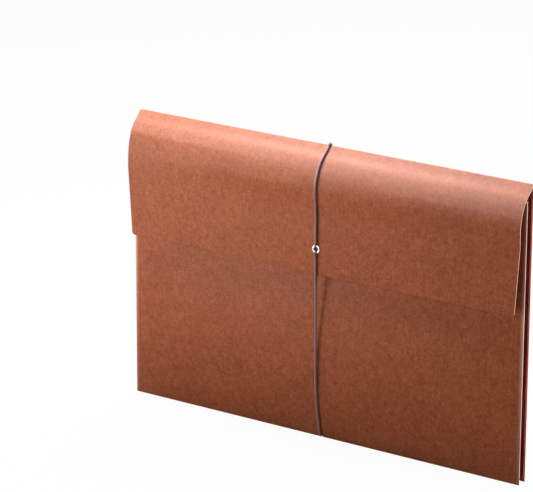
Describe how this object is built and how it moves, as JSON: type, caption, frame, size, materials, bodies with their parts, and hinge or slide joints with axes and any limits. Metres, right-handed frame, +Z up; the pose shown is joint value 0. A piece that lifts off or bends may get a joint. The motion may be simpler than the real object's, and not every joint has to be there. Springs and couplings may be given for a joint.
{
  "type": "expanding file wallet",
  "caption": "Paperboard file wallet with pleated gussets on three sides, a scored fold-over flap and an elastic cord loop held in a metal eyelet.",
  "frame": {"origin": "middle of the box around the closed wallet, at the bottom edges that it stands on", "axes": "+Z up, X along the width, front of the wallet faces -Y"},
  "size_m": [0.381, 0.0252, 0.2563],
  "materials": {
    "board": "red paperboard with fine fibres, slight sheen",
    "gusset": "dark red gusset paper, matte",
    "nickel": "nickel plated",
    "brass": "plain brass",
    "cord": "braided elastic, mauve brown"
  },
  "bodies": {
    "back": {"back_panel": "board", "left_rear_flange": "gusset", "right_rear_flange": "gusset", "bottom_rear_flange": "gusset", "cord_back_run": "cord"},
    "left_rear": {"left_rear_leaf": "gusset"},
    "left_front": {"left_front_leaf": "gusset"},
    "front": {"front_panel": "board", "left_front_flange": "gusset", "right_front_flange": "gusset", "bottom_front_flange": "gusset", "cord_front_run": "cord"},
    "right_rear": {"right_rear_leaf": "gusset"},
    "right_front": {"right_front_leaf": "gusset"},
    "bottom_rear": {"bottom_rear_leaf": "gusset"},
    "bottom_front": {"bottom_front_leaf": "gusset"},
    "ridge": {"flap_ridge": "board", "cord_ridge_bend": "cord"},
    "strip_1": {"flap_strip_1": "board", "cord_strip_1": "cord"},
    "strip_2": {"flap_strip_2": "board", "cord_strip_2": "cord"},
    "strip_3": {"flap_strip_3": "board", "cord_strip_3": "cord"},
    "flap_end": {"flap_panel": "board", "eyelet": "nickel", "eyelet_washer": "brass", "cord_flap_run": "cord", "cord_flap_tail": "cord", "cord_knot": "cord"}
  },
  "joints": [
    {"name": "gusset", "type": "hinge", "parent": "back", "child": "left_rear", "pos_m": [-0.1895, 0.00852, 0.12], "axis": [0, 0, -1], "range_deg": [-6, 40]},
    {"name": "left_crease", "type": "hinge", "parent": "left_rear", "child": "left_front", "pos_m": [-0.16475, 0.00502, 0.12], "axis": [0, 0, 1], "range_deg": [-12.5, 80.5]},
    {"name": "left_front_fold", "type": "hinge", "parent": "left_front", "child": "front", "pos_m": [-0.1895, 0.00152, 0.12], "axis": [0, 0, -1], "range_deg": [-6.5, 40.5]},
    {"name": "right_rear_fold", "type": "hinge", "parent": "back", "child": "right_rear", "pos_m": [0.1895, 0.00852, 0.12], "axis": [0, 0, 1], "range_deg": [-6.5, 40.5]},
    {"name": "right_crease", "type": "hinge", "parent": "right_rear", "child": "right_front", "pos_m": [0.16475, 0.00502, 0.12], "axis": [0, 0, -1], "range_deg": [-12.5, 80.5]},
    {"name": "bottom_rear_fold", "type": "hinge", "parent": "back", "child": "bottom_rear", "pos_m": [0, 0.00852, 0.0022], "axis": [1, 0, 0], "range_deg": [-6.5, 40.5]},
    {"name": "bottom_crease", "type": "hinge", "parent": "bottom_rear", "child": "bottom_front", "pos_m": [0, 0.00502, 0.02695], "axis": [-1, 0, 0], "range_deg": [-12.5, 80.5]},
    {"name": "ridge_roll", "type": "hinge", "parent": "back", "child": "ridge", "pos_m": [0, 0.00972, 0.2531], "axis": [-1, 0, 0], "range_deg": [-11.3, 72.5]},
    {"name": "flap", "type": "hinge", "parent": "ridge", "child": "strip_1", "pos_m": [0, 0.00972, 0.2531], "axis": [-1, 0, 0], "range_deg": [0, 165], "deforming": ["cord_ridge_bend", "cord_front_run"]},
    {"name": "score_b", "type": "hinge", "parent": "strip_1", "child": "strip_2", "pos_m": [0, -0.00369, 0.24185], "axis": [-1, 0, 0], "range_deg": [-4.7, 28.5]},
    {"name": "score_c", "type": "hinge", "parent": "strip_2", "child": "strip_3", "pos_m": [0, -0.0088, 0.22512], "axis": [1, 0, 0], "range_deg": [-2.3, 12.5]},
    {"name": "score_d", "type": "hinge", "parent": "strip_3", "child": "flap_end", "pos_m": [0, -0.00972, 0.20764], "axis": [1, 0, 0], "range_deg": [-13.7, 88.5]}
  ],
  "couplings": [
    {"joint": "left_crease", "follows": "gusset", "ratio": 2},
    {"joint": "left_front_fold", "follows": "gusset", "ratio": 1},
    {"joint": "right_rear_fold", "follows": "gusset", "ratio": 1},
    {"joint": "right_crease", "follows": "gusset", "ratio": 2},
    {"joint": "bottom_rear_fold", "follows": "gusset", "ratio": 1},
    {"joint": "bottom_crease", "follows": "gusset", "ratio": 2},
    {"joint": "ridge_roll", "follows": "gusset", "ratio": 1.8},
    {"joint": "score_b", "follows": "gusset", "ratio": 0.7},
    {"joint": "score_c", "follows": "gusset", "ratio": 0.3},
    {"joint": "score_d", "follows": "gusset", "ratio": 2.2}
  ]
}
